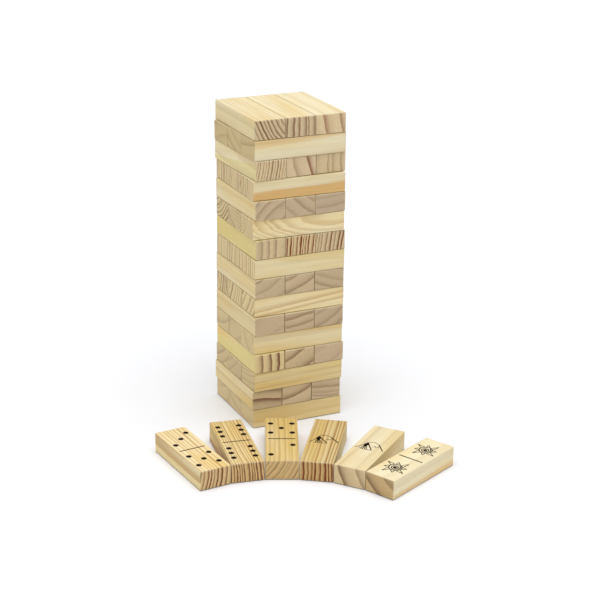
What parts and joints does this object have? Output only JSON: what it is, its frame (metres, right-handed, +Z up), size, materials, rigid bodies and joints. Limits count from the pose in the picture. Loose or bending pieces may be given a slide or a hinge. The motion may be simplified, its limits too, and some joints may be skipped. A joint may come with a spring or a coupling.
{
  "type": "tumbling tower game",
  "caption": "Stacking game tower of plain wooden blocks, three to a layer and crossed layer by layer, with a fan of printed domino and picture blocks beside it.",
  "frame": {"origin": "on the ground at the centre of the tower's foot, under the middle block of the bottom layer", "axes": "+Z up the tower, +X along the blocks of the bottom layer, -Y towards the fan of printed blocks"},
  "size_m": [0.1957, 0.2304, 0.2472],
  "materials": {
    "tower_pine": "sanded, unvarnished pine",
    "printed_pine": "sanded, unvarnished pine with black prints on top"
  },
  "bodies": {
    "layer_01_centre": {"layer_01_centre": "tower_pine"},
    "layer_01_front": {"layer_01_front": "tower_pine"},
    "layer_01_back": {"layer_01_back": "tower_pine"},
    "layer_02_left": {"layer_02_left": "tower_pine"},
    "layer_02_centre": {"layer_02_centre": "tower_pine"},
    "layer_02_right": {"layer_02_right": "tower_pine"},
    "layer_03_front": {"layer_03_front": "tower_pine"},
    "layer_03_centre": {"layer_03_centre": "tower_pine"},
    "layer_03_back": {"layer_03_back": "tower_pine"},
    "layer_04_left": {"layer_04_left": "tower_pine"},
    "layer_04_centre": {"layer_04_centre": "tower_pine"},
    "layer_04_right": {"layer_04_right": "tower_pine"},
    "layer_05_front": {"layer_05_front": "tower_pine"},
    "layer_05_centre": {"layer_05_centre": "tower_pine"},
    "layer_05_back": {"layer_05_back": "tower_pine"},
    "layer_06_left": {"layer_06_left": "tower_pine"},
    "layer_06_centre": {"layer_06_centre": "tower_pine"},
    "layer_06_right": {"layer_06_right": "tower_pine"},
    "layer_07_front": {"layer_07_front": "tower_pine"},
    "layer_07_centre": {"layer_07_centre": "tower_pine"},
    "layer_07_back": {"layer_07_back": "tower_pine"},
    "layer_08_left": {"layer_08_left": "tower_pine"},
    "layer_08_centre": {"layer_08_centre": "tower_pine"},
    "layer_08_right": {"layer_08_right": "tower_pine"},
    "layer_09_front": {"layer_09_front": "tower_pine"},
    "layer_09_centre": {"layer_09_centre": "tower_pine"},
    "layer_09_back": {"layer_09_back": "tower_pine"},
    "layer_10_left": {"layer_10_left": "tower_pine"},
    "layer_10_centre": {"layer_10_centre": "tower_pine"},
    "layer_10_right": {"layer_10_right": "tower_pine"},
    "layer_11_front": {"layer_11_front": "tower_pine"},
    "layer_11_centre": {"layer_11_centre": "tower_pine"},
    "layer_11_back": {"layer_11_back": "tower_pine"},
    "layer_12_left": {"layer_12_left": "tower_pine"},
    "layer_12_centre": {"layer_12_centre": "tower_pine"},
    "layer_12_right": {"layer_12_right": "tower_pine"},
    "layer_13_front": {"layer_13_front": "tower_pine"},
    "layer_13_centre": {"layer_13_centre": "tower_pine"},
    "layer_13_back": {"layer_13_back": "tower_pine"},
    "layer_14_left": {"layer_14_left": "tower_pine"},
    "layer_14_centre": {"layer_14_centre": "tower_pine"},
    "layer_14_right": {"layer_14_right": "tower_pine"},
    "layer_15_front": {"layer_15_front": "tower_pine"},
    "layer_15_centre": {"layer_15_centre": "tower_pine"},
    "layer_15_back": {"layer_15_back": "tower_pine"},
    "layer_16_left": {"layer_16_left": "tower_pine"},
    "layer_16_centre": {"layer_16_centre": "tower_pine"},
    "layer_16_right": {"layer_16_right": "tower_pine"},
    "domino_3_5": {"domino_3_5": "printed_pine"},
    "domino_6_6": {"domino_6_6": "printed_pine"},
    "domino_5_2": {"domino_5_2": "printed_pine"},
    "picture_block_1": {"picture_block_1": "printed_pine"},
    "picture_block_2": {"picture_block_2": "printed_pine"},
    "picture_block_3": {"picture_block_3": "printed_pine"}
  },
  "joints": [
    {"name": "layer_16_left_lift", "type": "slide", "parent": "layer_01_centre", "child": "layer_16_left", "axis": [0, 0, 1], "range_m": [0, 0.06]},
    {"name": "layer_16_centre_lift", "type": "slide", "parent": "layer_01_centre", "child": "layer_16_centre", "axis": [0, 0, 1], "range_m": [0, 0.06]},
    {"name": "layer_16_right_lift", "type": "slide", "parent": "layer_01_centre", "child": "layer_16_right", "axis": [0, 0, 1], "range_m": [0, 0.06]},
    {"name": "domino_3_5_lift", "type": "slide", "parent": "layer_01_centre", "child": "domino_3_5", "axis": [0, 0, 1], "range_m": [0, 0.06]},
    {"name": "domino_6_6_lift", "type": "slide", "parent": "layer_01_centre", "child": "domino_6_6", "axis": [0, 0, 1], "range_m": [0, 0.06]},
    {"name": "domino_5_2_lift", "type": "slide", "parent": "layer_01_centre", "child": "domino_5_2", "axis": [0, 0, 1], "range_m": [0, 0.06]},
    {"name": "picture_block_1_lift", "type": "slide", "parent": "layer_01_centre", "child": "picture_block_1", "axis": [0, 0, 1], "range_m": [0, 0.06]},
    {"name": "picture_block_2_lift", "type": "slide", "parent": "layer_01_centre", "child": "picture_block_2", "axis": [0, 0, 1], "range_m": [0, 0.06]},
    {"name": "picture_block_3_lift", "type": "slide", "parent": "layer_01_centre", "child": "picture_block_3", "axis": [0, 0, 1], "range_m": [0, 0.06]},
    {"name": "layer_01_front_slide", "type": "slide", "parent": "layer_01_centre", "child": "layer_01_front", "axis": [1, 0, 0], "range_m": [-0.08, 0.08]},
    {"name": "layer_01_back_slide", "type": "slide", "parent": "layer_01_centre", "child": "layer_01_back", "axis": [1, 0, 0], "range_m": [-0.08, 0.08]},
    {"name": "layer_02_left_slide", "type": "slide", "parent": "layer_01_centre", "child": "layer_02_left", "axis": [0, 1, 0], "range_m": [-0.08, 0.08]},
    {"name": "layer_02_centre_slide", "type": "slide", "parent": "layer_01_centre", "child": "layer_02_centre", "axis": [0, 1, 0], "range_m": [-0.08, 0.08]},
    {"name": "layer_02_right_slide", "type": "slide", "parent": "layer_01_centre", "child": "layer_02_right", "axis": [0, 1, 0], "range_m": [-0.08, 0.08]},
    {"name": "layer_03_front_slide", "type": "slide", "parent": "layer_01_centre", "child": "layer_03_front", "axis": [1, 0.0087, 0], "range_m": [-0.08, 0.08]},
    {"name": "layer_03_centre_slide", "type": "slide", "parent": "layer_01_centre", "child": "layer_03_centre", "axis": [1, 0.0087, 0], "range_m": [-0.08, 0.08]},
    {"name": "layer_03_back_slide", "type": "slide", "parent": "layer_01_centre", "child": "layer_03_back", "axis": [1, 0.0087, 0], "range_m": [-0.08, 0.08]},
    {"name": "layer_04_left_slide", "type": "slide", "parent": "layer_01_centre", "child": "layer_04_left", "axis": [-0.0087, 1, 0], "range_m": [-0.08, 0.08]},
    {"name": "layer_04_centre_slide", "type": "slide", "parent": "layer_01_centre", "child": "layer_04_centre", "axis": [-0.0087, 1, 0], "range_m": [-0.08, 0.08]},
    {"name": "layer_04_right_slide", "type": "slide", "parent": "layer_01_centre", "child": "layer_04_right", "axis": [-0.0087, 1, 0], "range_m": [-0.08, 0.08]},
    {"name": "layer_05_front_slide", "type": "slide", "parent": "layer_01_centre", "child": "layer_05_front", "axis": [1, -0.0087, 0], "range_m": [-0.08, 0.08]},
    {"name": "layer_05_centre_slide", "type": "slide", "parent": "layer_01_centre", "child": "layer_05_centre", "axis": [1, -0.0087, 0], "range_m": [-0.08, 0.08]},
    {"name": "layer_05_back_slide", "type": "slide", "parent": "layer_01_centre", "child": "layer_05_back", "axis": [1, -0.0087, 0], "range_m": [-0.08, 0.08]},
    {"name": "layer_06_left_slide", "type": "slide", "parent": "layer_01_centre", "child": "layer_06_left", "axis": [-0.0087, 1, 0], "range_m": [-0.08, 0.08]},
    {"name": "layer_06_centre_slide", "type": "slide", "parent": "layer_01_centre", "child": "layer_06_centre", "axis": [-0.0087, 1, 0], "range_m": [-0.08, 0.08]},
    {"name": "layer_06_right_slide", "type": "slide", "parent": "layer_01_centre", "child": "layer_06_right", "axis": [-0.0087, 1, 0], "range_m": [-0.08, 0.08]},
    {"name": "layer_07_front_slide", "type": "slide", "parent": "layer_01_centre", "child": "layer_07_front", "axis": [1, 0, 0], "range_m": [-0.08, 0.08]},
    {"name": "layer_07_centre_slide", "type": "slide", "parent": "layer_01_centre", "child": "layer_07_centre", "axis": [1, 0, 0], "range_m": [-0.08, 0.08]},
    {"name": "layer_07_back_slide", "type": "slide", "parent": "layer_01_centre", "child": "layer_07_back", "axis": [1, 0, 0], "range_m": [-0.08, 0.08]},
    {"name": "layer_08_left_slide", "type": "slide", "parent": "layer_01_centre", "child": "layer_08_left", "axis": [-0.0087, 1, 0], "range_m": [-0.08, 0.08]},
    {"name": "layer_08_centre_slide", "type": "slide", "parent": "layer_01_centre", "child": "layer_08_centre", "axis": [-0.0087, 1, 0], "range_m": [-0.08, 0.08]},
    {"name": "layer_08_right_slide", "type": "slide", "parent": "layer_01_centre", "child": "layer_08_right", "axis": [-0.0087, 1, 0], "range_m": [-0.08, 0.08]},
    {"name": "layer_09_front_slide", "type": "slide", "parent": "layer_01_centre", "child": "layer_09_front", "axis": [1, 0, 0], "range_m": [-0.08, 0.08]},
    {"name": "layer_09_centre_slide", "type": "slide", "parent": "layer_01_centre", "child": "layer_09_centre", "axis": [1, 0, 0], "range_m": [-0.08, 0.08]},
    {"name": "layer_09_back_slide", "type": "slide", "parent": "layer_01_centre", "child": "layer_09_back", "axis": [1, 0, 0], "range_m": [-0.08, 0.08]},
    {"name": "layer_10_left_slide", "type": "slide", "parent": "layer_01_centre", "child": "layer_10_left", "axis": [-0.0087, 1, 0], "range_m": [-0.08, 0.08]},
    {"name": "layer_10_centre_slide", "type": "slide", "parent": "layer_01_centre", "child": "layer_10_centre", "axis": [-0.0087, 1, 0], "range_m": [-0.08, 0.08]},
    {"name": "layer_10_right_slide", "type": "slide", "parent": "layer_01_centre", "child": "layer_10_right", "axis": [-0.0087, 1, 0], "range_m": [-0.08, 0.08]},
    {"name": "layer_11_front_slide", "type": "slide", "parent": "layer_01_centre", "child": "layer_11_front", "axis": [0.9997, -0.0262, 0], "range_m": [-0.08, 0.08]},
    {"name": "layer_11_centre_slide", "type": "slide", "parent": "layer_01_centre", "child": "layer_11_centre", "axis": [0.9997, -0.0262, 0], "range_m": [-0.08, 0.08]},
    {"name": "layer_11_back_slide", "type": "slide", "parent": "layer_01_centre", "child": "layer_11_back", "axis": [0.9997, -0.0262, 0], "range_m": [-0.08, 0.08]},
    {"name": "layer_12_left_slide", "type": "slide", "parent": "layer_01_centre", "child": "layer_12_left", "axis": [-0.0087, 1, 0], "range_m": [-0.08, 0.08]},
    {"name": "layer_12_centre_slide", "type": "slide", "parent": "layer_01_centre", "child": "layer_12_centre", "axis": [-0.0087, 1, 0], "range_m": [-0.08, 0.08]},
    {"name": "layer_12_right_slide", "type": "slide", "parent": "layer_01_centre", "child": "layer_12_right", "axis": [-0.0087, 1, 0], "range_m": [-0.08, 0.08]},
    {"name": "layer_13_front_slide", "type": "slide", "parent": "layer_01_centre", "child": "layer_13_front", "axis": [0.9998, -0.0175, 0], "range_m": [-0.08, 0.08]},
    {"name": "layer_13_centre_slide", "type": "slide", "parent": "layer_01_centre", "child": "layer_13_centre", "axis": [0.9998, -0.0175, 0], "range_m": [-0.08, 0.08]},
    {"name": "layer_13_back_slide", "type": "slide", "parent": "layer_01_centre", "child": "layer_13_back", "axis": [0.9998, -0.0175, 0], "range_m": [-0.08, 0.08]},
    {"name": "layer_14_left_slide", "type": "slide", "parent": "layer_01_centre", "child": "layer_14_left", "axis": [-0.0262, 0.9997, 0], "range_m": [-0.08, 0.08]},
    {"name": "layer_14_centre_slide", "type": "slide", "parent": "layer_01_centre", "child": "layer_14_centre", "axis": [-0.0262, 0.9997, 0], "range_m": [-0.08, 0.08]},
    {"name": "layer_14_right_slide", "type": "slide", "parent": "layer_01_centre", "child": "layer_14_right", "axis": [-0.0262, 0.9997, 0], "range_m": [-0.08, 0.08]},
    {"name": "layer_15_front_slide", "type": "slide", "parent": "layer_01_centre", "child": "layer_15_front", "axis": [1, 0.0087, 0], "range_m": [-0.08, 0.08]},
    {"name": "layer_15_centre_slide", "type": "slide", "parent": "layer_01_centre", "child": "layer_15_centre", "axis": [1, 0.0087, 0], "range_m": [-0.08, 0.08]},
    {"name": "layer_15_back_slide", "type": "slide", "parent": "layer_01_centre", "child": "layer_15_back", "axis": [1, 0.0087, 0], "range_m": [-0.08, 0.08]}
  ]
}
